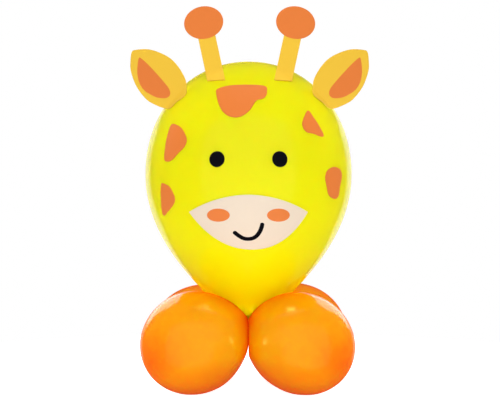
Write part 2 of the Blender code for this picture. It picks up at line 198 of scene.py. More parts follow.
# The middle of the smile's line, sideways and up from the middle of the muzzle.
SMILE_LINE = (
    (-17, -10.3), (-13.5, -13.5), (-10.2, -16.2), (-6, -18.8), (-1, -19.9), (4.8, -19),
    (9.5, -15.6), (12.9, -10.3), (14.9, -4.8), (15.9, 0.6),
)


def linear(hex_colour):
    """Turn an sRGB hex colour into linear red, green and blue."""
    channels = [int(hex_colour[i:i + 2], 16) / 255 for i in (0, 2, 4)]
    return [c / 12.92 if c <= 0.04045 else ((c + 0.055) / 1.055) ** 2.4 for c in channels]


# ---- Settings ----

def length(name, description, millimetres):
    """A length that can be set."""
    return FloatProperty(name=name, description=description, default=millimetres * MM,
                         unit="LENGTH")


def part(name, description, default):
    """A part of a size that can be set."""
    return FloatProperty(name=name, description=description, default=default,
                         subtype="FACTOR")


def light(name, description, default):
    """A brightness that can be set.  That of lit white paper is 1."""
    return FloatProperty(name=name, description=description, default=default, min=0.0)


def tint(name, description, default):
    """A linear colour that can be set."""
    return FloatVectorProperty(name=name, description=description, default=default,
                               subtype="COLOR")


class BalloonSettings(bpy.types.PropertyGroup):
    """Sizes of the balloons."""
    foot_diameter: length("Foot diameter", "Across the widest ring of a small balloon", 119)
    knot_height: length("Knot height", "Where the necks meet, above the floor", 84)
    head_pull: length("Head pull", "How far the tip of the head's taper is below the knot", 15.7)
    squeeze_gap: length("Squeeze gap", "Between the head's neck and the feet", 0.1)
    squeeze_blend: length("Squeeze blend", "How softly the head bends away from the feet", 1)
    contact_gap: length("Contact gap", "Between two feet that press on each other", 0.1)
    contact_blend: length("Contact blend", "How softly a foot flattens where it is pressed", 1.6)
    press: part("Press", "How much wider a foot is towards its neighbours", 0.08)
    bulge: length("Bulge", "How far the head's neck bulges out between the feet", 12)
    bulge_height: length("Bulge height", "Over how much height the neck bulges", 10)
    tail_radius: length("Tail radius", "The head balloon's neck below the knot", 2.2)
    tail_drop: length("Tail drop", "From the knot to where the nozzle starts to flare", 13)
    nozzle_radius: length("Nozzle radius", "The rolled rim round a balloon's mouth", 5.6)
    bead_radius: length("Bead radius", "Half the thickness of that rolled rim", 0.8)
    pleats: IntProperty(
        name="Pleats", description="Folds round a gathered neck", default=13, min=3)
    pleat_depth: part("Pleat depth", "Depth of the folds at the knot", 0.13)


class CardSettings(bpy.types.PropertyGroup):
    """Sizes of the card ears and horns."""
    thickness: length("Card thickness", "The board that the ears and horns are cut from", 0.8)
    bend: length("Root bend", "How softly a root bends onto the balloon", 8)
    gap: length("Card gap", "Between a root and the balloon under it", 0.3)
    stem_length: length("Horn stem", "From a horn's root to the middle of its knob", 72.4)
    stem_half_width: length("Stem half width", "Half the width of a horn's stem", 10.3)
    knob_half_width: length("Knob half width", "Half the width of a horn's knob", 23.2)
    knob_half_height: length("Knob half height", "Half the height of a horn's knob", 19.8)


class StickerSettings(bpy.types.PropertyGroup):
    """Sizes of the stickers and the print."""
    thickness: length("Sticker thickness", "Vinyl film with its glue", 0.25)
    lift: length("Sticker lift", "Between a sticker's back and the latex", 0.1)
    ink: length("Ink thickness", "A printed colour on card or vinyl", 0.05)
    ink_lift: length("Ink lift", "Between a print and what it is printed on", 0.02)
    nostril_half_width: length("Nostril half width", "Half the width of a nostril", 13.5)
    nostril_half_height: length("Nostril half height", "Half the height of a nostril", 7.8)
    smile_width: length("Smile width", "The width of the line of the smile", 4.9)


class ColourSettings(bpy.types.PropertyGroup):
    """Colours of the latex, card and stickers."""
    head_thin: tint("Head, blown thin", "Yellow latex on the belly", linear("F3EE06"))
    # The thick yellow is brighter than the thin: painted light in the neck's shade.
    head_thick_lit: tint("Head, thick", "Yellow latex where it is gathered", linear("FFF000"))
    head_bloom: tint("Head, bloom", "The haze on the yellow latex", linear("FFE100"))
    foot_thin: tint("Foot, blown thin", "Orange latex on the belly", linear("FCAD06"))
    # The thick orange is partly thicker latex and partly painted shade: underneath, on the crowns'
    # lower outer sides and in the creases between the feet.
    foot_thick_shaded: tint("Foot, thick", "Orange latex where it is gathered", linear("F06400"))
    foot_bloom: tint("Foot, bloom", "The haze on the orange latex", linear("FF5000"))
    card: tint("Card", "Printed face of the ears and horns", linear("FFCE3C"))
    board: tint("Board", "Cut edge of the card", linear("F6C84A"))
    orange: tint("Orange", "Coat patches, nostrils, knobs and inner ears", linear("F38439"))
    cream: tint("Cream", "The muzzle", linear("F4E2CD"))
    black: tint("Black", "The eyes and the smile", linear("04030F"))


class StudioSettings(bpy.types.PropertyGroup):
    """The lights and the camera."""
    room: light("Room", "The white room", 0.23)
    room_gloss: light("Room in gloss", "The room as the gloss mirrors it", 0.1)
    table: light("Table", "The light table", 0.12)
    table_seen: light("Table as seen", "The light table to the camera", 0.95)
    front: light("Front light", "Low wide softbox behind the camera", 13.5)
    panel: light("Panel", "Wide dim panel round the camera", 0.23)
    rim: light("Rim lights", "Softboxes to the left and right", 7.0)
    back: light("Back lights", "Softboxes behind, to the left and right", 1.0)
    overhead: light("Overhead light", "Softbox over the giraffe", 4.6)
    backdrop: light("Backdrop", "Wide white panel behind", 0.9)
    strip: light("Strips", "Large softboxes high behind", 2.4)
    spot: light("Spots", "Small warm softboxes on high", 19.0)
    glint: light("Glints", "Small warm softboxes at the sides", 8.5)
    glow: light("Glow", "Light that comes through the next foot", 1.9)
    under: light("Under", "Light that comes up through the feet", 0.9)
    behind: light("Behind", "Light that comes down through the head", 1.5)
    spot_colour: tint("Spot colour", "The small warm softboxes", (1, 0.85, 0.15))
    glow_colour: tint("Glow colour", "Light that has come through latex", (1, 0.15, 0.005))
    under_colour: tint("Under colour", "Light up into the neck", (1, 0.95, 0.01))
    camera_distance: length("Camera distance", "In front of the knot", 1500)
    camera_height: length("Camera height", "Above the floor", 220.5)
    camera_aside: length("Camera aside", "Towards +X", 1.8)
    view_width: length("View width", "What the view spans at the knot", 607.3)


# ---- Shapes ----

def soft_min(a, b, width):
    """The smaller of a and b, rounded off by a parabola where they are close."""
    near = np.maximum(width - np.abs(a - b), 0) / width
    return np.minimum(a, b) - near ** 2 * width / 4


def soft_max(a, b, width):
    """The larger of a and b, rounded off by a parabola where they are close."""
    return -soft_min(-a, -b, width)


def ease(value):
    """Smooth step from 0 to 1: three squares less two cubes of the value held to 0..1."""
    held = np.clip(value, 0, 1)
    return held * held * (3 - 2 * held)


def ripple(turn, folds):
    """A ripple round a neck, from -1 to 1: three cosines whose counts share no beat."""
    return (0.5 * np.cos(folds * turn + 0.4) + 0.3 * np.cos((folds + 6) * turn + 1.9)
            + 0.2 * np.cos((2 * folds + 3) * turn + 4.1))


def bell(value, spread):
    """A bell curve: e to the power of minus the square of value over spread."""
    return np.exp(-(value / spread) ** 2)


def turns_round(count):
    """This many equal turns round a full circle, from 0."""
    return np.arange(count) * math.tau / count


def points(*coordinates):
    """Points from the arrays of their coordinates."""
    return np.stack(np.broadcast_arrays(*coordinates), -1)


def turned(radius, height, turns):
    """Rows turned about Z: radius times the turn's cosine and sine, and the row's height."""
    return points(radius * np.cos(turns), radius * np.sin(turns), height[:, None])


def running_length(line):
    """The length along a line up to each of its points."""
    return np.append(0, np.cumsum(np.linalg.norm(np.diff(line, axis=0), axis=1)))


def catmull_rom(knots, turn):
    """A curve through knots, at turns that count them: the Catmull-Rom cubic.

    From one knot to the next its slope goes from half of the way between the first
    one's neighbours to half of the way between the second one's.
    """
    start = turn.astype(int)
    t = (turn - start)[:, None]
    p0, p1, p2, p3 = (knots[(start + k) % len(knots)] for k in (-1, 0, 1, 2))
    return 0.5 * (2 * p1 + (p2 - p0) * t + (2 * p0 - 5 * p1 + 4 * p2 - p3) * t ** 2
                  + (3 * p1 - p0 - 3 * p2 + p3) * t ** 3)


def smooth_outline(knots, count):
    """A closed smooth curve through knots in millimetres, in metres."""
    return catmull_rom(np.array(knots) * MM, np.arange(count) * len(knots) / count)


def ellipse(half_width, half_height, count=96):
    """Points round an ellipse: cosine times half its width, sine times half its height."""
    turns = turns_round(count)
    return points(half_width * np.cos(turns), half_height * np.sin(turns))


def closed_grid(name, grid, attributes=()):
    """A mesh object from a grid of points whose columns close on themselves.

    The first and the last row are each one point, the two poles.  Attributes are
    (name, values) pairs, and their values are spread over the grid.  A closed mesh whose
    volume comes out less than nothing is inside out, so its faces are turned round.
    """
    rows, columns = grid.shape[:2]
    inner = grid[1:-1].reshape(-1, 3)
    corners = np.vstack([grid[:1, 0], inner, grid[-1:, 0]])
    index = 1 + np.arange((rows - 2) * columns).reshape(rows - 2, columns)
    after = np.roll(index, -1, axis=1)
    quads = np.stack([index[:-1], index[1:], after[1:], after[:-1]], -1).reshape(-1, 4)
    last = len(corners) - 1
    top = np.stack([np.zeros(columns, int), index[0], after[0]], -1)
    bottom = np.stack([index[-1], np.full(columns, last), after[-1]], -1)
    triangles = np.vstack([top, bottom])
    halves = np.vstack([triangles, quads[:, :3], quads[:, [0, 2, 3]]])
    a, b, c = (corners[halves[:, k]] for k in range(3))
    if np.einsum("ij,ij->", a, np.cross(b, c)) < 0:
        quads = quads[:, ::-1]
        triangles = triangles[:, ::-1]
    mesh = bpy.data.meshes.new(name)
    mesh.from_pydata(corners, [], quads.tolist() + triangles.tolist())
    for label, values in attributes:
        values = np.broadcast_to(values, (rows, columns))
        flat = np.concatenate([values[:1, 0], values[1:-1].ravel(), values[-1:, 0]])
        layer = mesh.attributes.new(label, "FLOAT", "POINT")
        layer.data.foreach_set("value", flat.astype(np.float32))
    mesh.shade_smooth()
    made = bpy.data.objects.new(name, mesh)
    bpy.context.scene.collection.objects.link(made)
    return made


def place_piece(piece, material, slot, *nodes):
    """Finish a piece: its material, the body it rides on and the nodes it replaces; the slot is not
    used.
    """
    piece.data.materials.append(material)
    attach(piece, "root")
    if nodes:
        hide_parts(*nodes)


# ---- Balloons ----

def head_radius_at(height, sizes):
    """Radius of the free head balloon at a height.

    Above the widest ring it is a superellipse, and below it the radius falls off with
    the square of the distance from it.
    """
    length = EQUATOR_HEIGHT - sizes.knot_height + sizes.head_pull
    above = np.clip((height - EQUATOR_HEIGHT) / (HEAD_TOP - EQUATOR_HEIGHT), 0, 1)
    below = np.clip((EQUATOR_HEIGHT - height) / length, 0, 1)
    crown = (1 - above ** CROWN_POWER) ** (1 / CROWN_POWER)
    return HEAD_RADIUS * crown * (1 - below ** 2)


def foot_frame(name, sizes):
    """Middle of the foot's widest ring, the unit axis away from the knot, its radius.

    The height of the middle and the tilt of the axis depend on each other, so they are
    worked out in turns until they settle.
    """
    foot = FEET[name]
    radius = foot.size * sizes.foot_diameter / 2
    reach = foot.reach * radius
    tilt = 0.0
    for _ in range(12):
        lowest = math.hypot(radius * math.cos(tilt), FOOT_CROWN * radius * math.sin(tilt))
        height = lowest - foot.flat
        tilt = math.atan2(sizes.knot_height - height, reach)
    centre = np.array([foot.side * reach * DIAGONAL, foot.front * reach * DIAGONAL, height])
    axis = centre - (0, 0, sizes.knot_height)
    return centre, axis / np.linalg.norm(axis), radius


def across_axis(axis):
    """Two unit directions across an axis: one level with the floor, the other upwards."""
    level = np.cross((0, 0, 1), axis)
    level /= np.linalg.norm(level)
    return level, np.cross(axis, level)


def foot_radius_at(name, along, aside, radius, sizes):
    """Radius of a foot at a distance along its axis: an ellipse, then a power taper.

    Towards the knot it is wider by a power of aside, the cosine of the turn from the
    direction level with the floor, so that it reaches for its neighbours.
    """
    crown = np.sqrt(1 - np.clip(along / (FOOT_CROWN * radius), 0, 1) ** 2)
    taper = 1 - np.clip(-along / (FOOT_TAPER * radius), 0, 1) ** FEET[name].fullness
    grown = ease(0.5 - along / (PRESS_GROWTH * radius))
    return radius * crown * taper * (1 + sizes.press * aside ** PRESS_POWER * grown)


def room_between_feet(heights, turns, sizes):
    """How far from the knot's axis a ray at each height and turn is free of the feet.

    Each ray is followed outwards in steps.  The depth inside the nearest foot is its
    radius there less the distance to its axis, and the surface is where that is zero.
    """
    step = 1 * MM
    steps = np.arange(0, HEAD_RADIUS, step)
    rays = points(np.cos(turns)[:, None] * steps, np.sin(turns)[:, None] * steps,
                  heights[:, None, None])
    depth = np.full(rays.shape[:3], -1.0)
    for name in FEET:
        centre, axis, radius = foot_frame(name, sizes)
        level, _ = across_axis(axis)
        along = (rays - centre) @ axis
        off_axis = np.linalg.norm(rays - centre - along[..., None] * axis, axis=-1)
        aside = (rays - centre) @ level / np.maximum(off_axis, 1e-9)
        depth = np.maximum(depth, foot_radius_at(name, along, aside, radius, sizes) - off_axis)
    inside = depth > 0
    first = np.maximum(inside.argmax(-1), 1)
    before = np.take_along_axis(depth, first[..., None] - 1, -1)[..., 0]
    behind = np.take_along_axis(depth, first[..., None], -1)[..., 0]
    share = np.clip(before / (before - behind), 0, 1)
    room = (first - 1 + share) * step
    return np.where(inside.any(-1), room, 2 * HEAD_RADIUS)


def neck_rows(sizes):
    """Radius and height of the head's rows from its widest ring to the tail.

    The free radius bulges out above the knot by a bell curve.  Then a funnel runs
    straight in, and sags by the square of an eased share of its way.
    """
    end = sizes.knot_height + NECK_END
    closer = sizes.knot_height + CLOSER_ROWS
    heights = np.concatenate([np.linspace(EQUATOR_HEIGHT, closer, HEAD_ROWS["belly"])[1:],
                              np.linspace(closer, end, HEAD_ROWS["neck"])[1:]])
    radius = head_radius_at(heights, sizes) + sizes.bulge * bell(heights - end, sizes.bulge_height)
    share = np.linspace(0, 1, HEAD_ROWS["funnel"])[1:]
    funnel = radius[-1] + (sizes.tail_radius - radius[-1]) * share
    return np.vstack([points(radius, heights),
                      points(funnel, end - FUNNEL_SAG * ease(share) ** 2)])


def nozzle_rows(sizes, top):
    """Radius and height of the flare of the head's nozzle, and of its rolled rim.

    The flare widens by a power of the way down, the rolled bead is a circle, and inside
    it the mouth closes by the square of the way up.
    """
    bead = sizes.bead_radius
    mouth = HEAD_LOW.z + bead
    share = np.linspace(0, 1, HEAD_ROWS["flare"])[1:]
    throat = sizes.nozzle_radius - 2 * bead
    flare = points(sizes.tail_radius + (throat - sizes.tail_radius) * share ** FLARE_POWER,
                   top + (mouth + bead - top) * share)
    turn = np.radians(np.linspace(150, -170, HEAD_ROWS["bead"]))
    roll = points(sizes.nozzle_radius - bead + bead * np.cos(turn), mouth + bead * np.sin(turn))
    share = np.linspace(0, 1, HEAD_ROWS["mouth"])
    hollow = points((sizes.nozzle_radius - 2.4 * bead) * (1 - share ** 2),
                    mouth + 0.3 * bead + MOUTH_DEPTH * share)
    return flare, np.vstack([roll, hollow])


def head_rows(sizes):
    """Radius, height, pleating and latex thickness of each row of the head's grid.

    Crown, belly, neck, funnel into the knot, tail, flared nozzle, its rolled bead, and
    the inside of its mouth, from the top down.  Near the knot the thicker latex also
    takes a brighter colour: painted light in the neck's shade.
    """
    angle = np.radians(np.linspace(90, 0, HEAD_ROWS["crown"]))
    power = 2 / CROWN_POWER
    crown_height = HEAD_TOP - EQUATOR_HEIGHT
    crown = points(HEAD_RADIUS * np.cos(angle).clip(0) ** power,
                   EQUATOR_HEIGHT + crown_height * np.sin(angle) ** power)
    crown[0, 0] = 0
    neck = neck_rows(sizes)
    flare_top = sizes.knot_height - sizes.tail_drop
    tail = points(sizes.tail_radius,
                  np.linspace(neck[-1, 1], flare_top, HEAD_ROWS["tail"])[1:])
    flare, rim = nozzle_rows(sizes, flare_top)
    radius, height = np.vstack([crown, neck, tail, flare, rim]).T
    above_knot = height - sizes.knot_height
    gathered = ease((PLEATS_START - above_knot) / PLEATS_GROW) ** 2
    gathered[-len(rim):] = 0
    spot = CROWN_SPOT_THICK * bell(radius, CROWN_SPOT) * (height > EQUATOR_HEIGHT)
    return radius, height, gathered, np.maximum(ease(1 - above_knot / THICKER_AND_LIT), spot)


def pleated(radius, gathered, turns, sizes):
    """Radius times 1 plus the ripple, by the pleats' depth and by how gathered a row is."""
    return radius * (1 + sizes.pleat_depth * gathered[:, None] * ripple(turns, sizes.pleats))


def head_balloon(sizes, columns=224):
    """The head: its rows turned about Z, pleated at the neck and squeezed by the feet.

    The radius is the smaller of the free radius and the room between the feet, rounded
    off where they are close.
    """
    radius, height, gathered, thick_and_painted = head_rows(sizes)
    turns = turns_round(columns)
    spread = pleated(radius[:, None], gathered, turns, sizes)
    pressed_from = FEET_REACH * sizes.foot_diameter
    near = (height < pressed_from) & (height > sizes.knot_height + PRESSED_TO)
    room = room_between_feet(height[near], turns, sizes) - sizes.squeeze_gap
    squeezed = soft_min(spread[near], room, sizes.squeeze_blend)
    spread[near] = np.maximum(squeezed, np.minimum(spread[near], sizes.tail_radius))
    return closed_grid("head_balloon_skin", turned(spread, height, turns),
                       [("thickness", thick_and_painted[:, None])])


def foot_thickness_and_shade(along, turns, height, radius, tip):
    """How thick a foot's latex is at each point, from 0 where it is blown thin to 1.

    It is the most of three: two bell curves over the crown, the neck, though less on
    its upper side, and the underside.  The crown and the neck are partly thicker latex
    and partly painted shade, on the crown's lower outer side and in the crease between
    the feet.  The underside is painted shade, and the paler upper side of the neck is
    painted light.
    """
    pole = np.degrees(np.arccos(np.clip(along / (FOOT_CROWN * radius), 0, 1)))
    spot = FOOT_SPOT * bell(pole, FOOT_SPOT_SPREAD) + FOOT_TIP_SPOT * bell(pole, FOOT_TIP_SPREAD)
    crown = (spot * (along > 0))[:, None]
    neck = ease((-along[:, None] / tip - FOOT_NECK_DEEPER) / (1 - FOOT_NECK_DEEPER))
    neck = neck * (1 - NECK_TOP_PAINTED_LIGHT * ease(np.sin(turns) / NECK_TOP))
    under = UNDERSIDE_SHADE * ease((UNDERSIDE_SHADE_HEIGHT - height) / UNDERSIDE_SHADE_GROWTH)
    return np.maximum(np.maximum(neck, crown), under)


def foot_balloon(name, sizes, columns=160):
    """A foot: a pear turned about its own tilted axis, then pressed flat.

    Each point that would pass the floor or the plane half way to a neighbour stays on
    its own side of it, with a soft edge round the flat.
    """
    foot = FEET[name]
    centre, axis, radius = foot_frame(name, sizes)
    gathered_at = FOOT_TAPER * radius * (1 - FOOT_TIP_RADIUS / radius) ** (1 / foot.fullness)
    tip = min(gathered_at, np.linalg.norm(centre - (0, 0, sizes.knot_height)) - FOOT_TIP_ROOM)
    angle = np.radians(np.linspace(90, 0, FOOT_ROWS["crown"]))
    back = np.linspace(0, tip, FOOT_ROWS["taper"])[1:]
    along = np.concatenate([FOOT_CROWN * radius * np.sin(angle), -back, [-tip]])
    turns = turns_round(columns)
    around = foot_radius_at(name, along[:, None], np.cos(turns), radius, sizes)
    around[[0, -1]] = 0
    gathered = ease((-along / tip - FOOT_PLEATS_START) / (1 - FOOT_PLEATS_START)) ** 2
    spread = pleated(around, gathered, turns, sizes)
    level, upwards = across_axis(axis)
    outwards = np.cos(turns)[:, None] * level + np.sin(turns)[:, None] * upwards
    grid = centre + spread[..., None] * outwards + along[:, None, None] * axis
    half_gap = sizes.contact_gap / 2
    for way, sign in enumerate((foot.side, foot.front)):
        grid[..., way] = sign * soft_max(sign * grid[..., way], half_gap, sizes.contact_blend)
    grid[..., 2] = soft_max(grid[..., 2], 0, FLOOR_BLEND)
    # Deeper colour where the latex is thick, with painted shade underneath, on the crown and in the
    # crease, and painted light on the upper side of the neck.
    thick_and_painted = foot_thickness_and_shade(along, turns, grid[..., 2], radius, tip)
    return closed_grid("foot_balloon_" + name + "_skin", grid, [("thickness", thick_and_painted)])


# ---- Sheets ----

# The angles of the points round the half circle of a sheet's edge, from front to back.
EDGE_TURN = np.radians(np.linspace(90, -90, 7))[1:-1]


def rim_profile(rings):
    """How far in from the outline, how far round the edge and how high each row lies.

    From the middle of the front to the outline the height is 1, then a half circle
    goes round the edge, and the back returns to the middle at height 0.
    """
    front = 1 - np.linspace(0, 1, rings + 1)
    none = 0 * front
    inwards = np.concatenate([front, 0 * EDGE_TURN, front[::-1]])
    edge = np.concatenate([none, np.cos(EDGE_TURN), none])
    level = np.concatenate([none + 1, 0.5 + 0.5 * np.sin(EDGE_TURN), none])
    return inwards, edge, level


def filled_outline(outline, thickness, rings):
    """Flat points, levels and edge marks of a sheet that fills a closed outline.

    Each row is the outline shrunk to its middle, and the rim bulges outwards by half
    of the thickness.
    """
    middle = (outline.min(0) + outline.max(0)) / 2
    arm = outline - middle
    reach = np.linalg.norm(arm, axis=1, keepdims=True)
    inwards, edge, level = rim_profile(rings)
    shrink = (1 - inwards)[:, None, None] * (1 - thickness / 2 / reach)
    bulge = edge[:, None, None] * thickness / 2 / reach
    return middle + arm * (shrink + bulge), level[:, None], (edge > 0)[:, None]


def ribbon(line, half_width, thickness, across=8):
    """Flat points, levels and edge marks of a thin ribbon along a line in the flat.

    At each point of the line a loop goes over the front from one edge to the other,
    round a half circle, and back underneath.  The first and last row close the ends.
    """
    along = np.gradient(line, axis=0)
    along /= np.linalg.norm(along, axis=1, keepdims=True)
    aside = along[:, ::-1] * (-1, 1)
    share = np.linspace(-1, 1, across + 1)
    none, full = 0 * share, np.ones_like(EDGE_TURN)
    bulge, rise = np.cos(EDGE_TURN), 0.5 * np.sin(EDGE_TURN)
    offset = np.concatenate([share, full, share[::-1], -full])
    edge = np.concatenate([none, bulge, none, -bulge])
    level = np.concatenate([none + 1, 0.5 + rise, none, 0.5 - rise])
    inner = np.maximum(half_width - thickness / 2, 0)[:, None]
    reach = inner * offset + np.minimum(half_width, thickness / 2)[:, None] * edge
    flat = line[:, None] + aside[:, None] * reach[..., None]
    closed = [np.broadcast_to(end, flat[:1].shape) for end in line[[0, -1]]]
    flat = np.concatenate([closed[0], flat, closed[1]])
    levels = np.tile(level, (len(flat), 1))
    levels[[0, -1]] = 0.5
    return flat, levels, np.abs(edge) > 0


def on_head(azimuth, start_height, sizes, count=4001):
    """A function that lays flat points (sideways, up) on the head, lifted off it.

    A point goes up the surface by its second value, then round the balloon by its
    first, and stands off along the outward direction of the surface.
    """
    height = np.linspace(sizes.knot_height, HEAD_TOP, count)
    radius = head_radius_at(height, sizes)
    length = running_length(points(radius, height))
    start = np.interp(start_height, height, length)

    def place(flat, lift):
        at = start + flat[..., 1]
        ends = at + np.array([-0.5, 0.5])[:, None, None] * MM
        (low, high), (inner, outer) = (np.interp(ends, length, v) for v in (height, radius))
        rise, grow = high - low, outer - inner
        size = np.hypot(rise, grow)
        here = np.interp(at, length, radius)
        turn = azimuth + flat[..., 0] / here
        out = here + rise / size * lift
        return points(out * np.sin(turn), -out * np.cos(turn),
                      np.interp(at, length, height) - grow / size * lift)

    return place


def on_card(middle, depth, sweep, lean_back, side, sizes, card):
    """A function that puts flat points (towards +X, up from the middle) on a card.

    The card is a plane, but where the front of the balloon is further forward it bends
    softly and lies on the balloon.  A point stands off along the card's own normal.
    """
    def depth_at(x, z):
        plane = depth - sweep * (side * x - middle[0]) - lean_back * (z - middle[1])
        surface = np.sqrt(np.maximum(head_radius_at(z, sizes) ** 2 - x ** 2, 0))
        return soft_max(plane, surface + card.gap, card.bend)

    def place(flat, lift):
        x = side * middle[0] + flat[..., 0] + CARD_SHIFT
        z = middle[1] + flat[..., 1]
        step = 0.2 * MM
        slope_x = (depth_at(x + step, z) - depth_at(x - step, z)) / (2 * step)
        slope_z = (depth_at(x, z + step) - depth_at(x, z - step)) / (2 * step)
        size = np.sqrt(1 + slope_x ** 2 + slope_z ** 2)
        return points(x - slope_x / size * lift, -depth_at(x, z) - lift / size,
                      z - slope_z / size * lift)

    return place


def sheet_piece(name, parts, place, lift, thickness, material, slot, *nodes):
    """A closed thin sheet: its flat points put in place, each at its own level."""
    flat, level, edge = parts
    sheet = closed_grid(name, place(flat, lift + thickness * level), [("edge", edge)])
    place_piece(sheet, material, slot, *nodes)


def card_piece(node, leaf, ink, place, scene):
    """A piece of card in place of a node, and the orange print that lies on its face."""
    thickness, stickers = scene.giraffe_card.thickness, scene.giraffe_stickers
    sheet_piece(node + "_card", leaf, place, 0, thickness,
                card_board(scene.giraffe_colours), "card", node)
    sheet_piece(node + "_print", ink, place, thickness + stickers.ink_lift, stickers.ink,
                orange_film(scene.giraffe_colours), "orange_vinyl")


def sticker(node, outline, rings, place, stickers, material, slot):
    """A sticker that fills an outline, in place of a node."""
    film = filled_outline(outline, stickers.thickness, rings)
    sheet_piece(node + "_film", film, place, stickers.lift, stickers.thickness,
                material, slot, node)


def level_root(parts, side, card):
    """The root of a horn's stem cut level, not square to the stem.

    Each flat point slides along the leaning stem by its offset from the stem's middle
    times the tangent of the lean, less and less up to twice the stem's width.
    """
    flat, level, edge = parts
    lean = np.array([side * math.sin(HORN_LEAN), math.cos(HORN_LEAN)])
    aside = flat @ (lean[1], -lean[0])
    fade = 1 - ease(flat @ lean / (4 * card.stem_half_width))
    slide = side * aside * fade * math.tan(HORN_LEAN)
    return flat + slide[..., None] * lean, level, edge


def horn_shape(card, side, top_only=False):
    """The line up a horn and half its width along it, leaning outwards to its side.

    The half width is the stem's, and that of an ellipse from where the stem meets the
    knob.  The print on the knob is the whole ellipse.
    """
    meet, count = -math.pi / 2, 60
    if not top_only:
        meet, count = -math.acos(card.stem_half_width / card.knob_half_width), 50
    turn = np.linspace(meet, math.pi / 2, count)
    up = card.stem_length + card.knob_half_height * np.sin(turn)
    half_width = card.knob_half_width * np.cos(turn).clip(0)
    if not top_only:
        below = np.linspace(0, up[0], 60)[:-1]
        up = np.concatenate([below, up])
        half_width = np.concatenate([0 * below + card.stem_half_width, half_width])
    return points(side * up * math.sin(HORN_LEAN), up * math.cos(HORN_LEAN)), half_width


def muzzle_outline(count=91):
    """Round the muzzle: two power curves between its pointed corners.

    The lower one hangs a little to one side: its share s of the half width counts as
    s - k (1 - s^2).
    """
    share = np.sin(np.linspace(-math.pi / 2, math.pi / 2, count))
    leaning = share - MUZZLE_LEAN * (1 - share ** 2)
    top = MUZZLE_CORNER + MUZZLE_TOP * (1 - np.abs(share) ** MUZZLE_TOP_POWER)
    bottom = MUZZLE_CORNER - MUZZLE_BOTTOM * (1 - np.abs(leaning) ** MUZZLE_BOTTOM_POWER)
    return np.vstack([points(share * MUZZLE_HALF_WIDTH, bottom)[:-1],
                      points(share * MUZZLE_HALF_WIDTH, top)[:0:-1]])


def smile_shape(width, count=141):
    """The line of the smile and half its width, which closes in half circles.

    At a distance d from an end that is less than the half width r, the half width is
    sqrt(r^2 - (r - d)^2).
    """
    knots = np.array(SMILE_LINE) * MM
    knots = np.vstack([2 * knots[0] - knots[1], knots, 2 * knots[-1] - knots[-2]])
    line = catmull_rom(knots, np.linspace(1, len(SMILE_LINE), count))
    run = running_length(line)
    short = np.maximum(width / 2 - np.minimum(run, run[-1] - run), 0)
    return line, np.sqrt(np.maximum((width / 2) ** 2 - short ** 2, 0))


# ---- Materials ----

# A colour mix's sockets by number, since several share a name.
MIX_FACTOR, MIX_FIRST, MIX_SECOND, MIX_RESULT = 0, 6, 7, 2


def fill(tree, node, inputs):
    """Give inputs of a node their values, or link them to the sockets given."""
    for key, value in inputs.items():
        if isinstance(value, bpy.types.NodeSocket):
            tree.links.new(value, node.inputs[key])
        else:
            node.inputs[key].default_value = value


def add(tree, kind, output, inputs=(), **settings):
    """Add a node with its settings and its inputs' values and links, and return an output."""
    node = tree.nodes.new(kind)
    for name, value in settings.items():
        setattr(node, name, value)
    fill(tree, node, dict(inputs))
    return node.outputs[output]


def blank_material(name):
    """A new material, its tree, its Principled shader and the object coordinates."""
    made = bpy.data.materials.new(name)
    made.use_nodes = True
    tree = made.node_tree
    return made, tree, tree.nodes["Principled BSDF"], add(tree, "ShaderNodeTexCoord", "Object")


def shared(name, make, **details):
    """The material of this name, made on first use."""
    return bpy.data.materials.get(name) or make(name, **details)


def rgba(colour, darker=0.0):
    """A colour as a socket takes it, made darker by a part from 0 to 1."""
    return [channel * (1 - darker) for channel in colour] + [1.0]


def blotches(tree, place, size, detail, low=0.0, high=1.0, coarse=0.5):
    """A pattern of blotches about this size in metres, with values from low to high."""
    cloud = add(tree, "ShaderNodeTexNoise", "Fac",
                {"Vector": place, "Scale": 1 / size, "Detail": detail, "Roughness": coarse})
    return add(tree, "ShaderNodeMapRange", "Result",
               {"Value": cloud, "To Min": low, "To Max": high})


def layered(tree, base, *layers):
    """Layers of colour over a base, each with the pattern that it shows by."""
    for pattern, colour in layers:
        base = add(tree, "ShaderNodeMix", MIX_RESULT,
                   {MIX_FACTOR: pattern, MIX_FIRST: base, MIX_SECOND: colour},
                   data_type="RGBA")
    return base


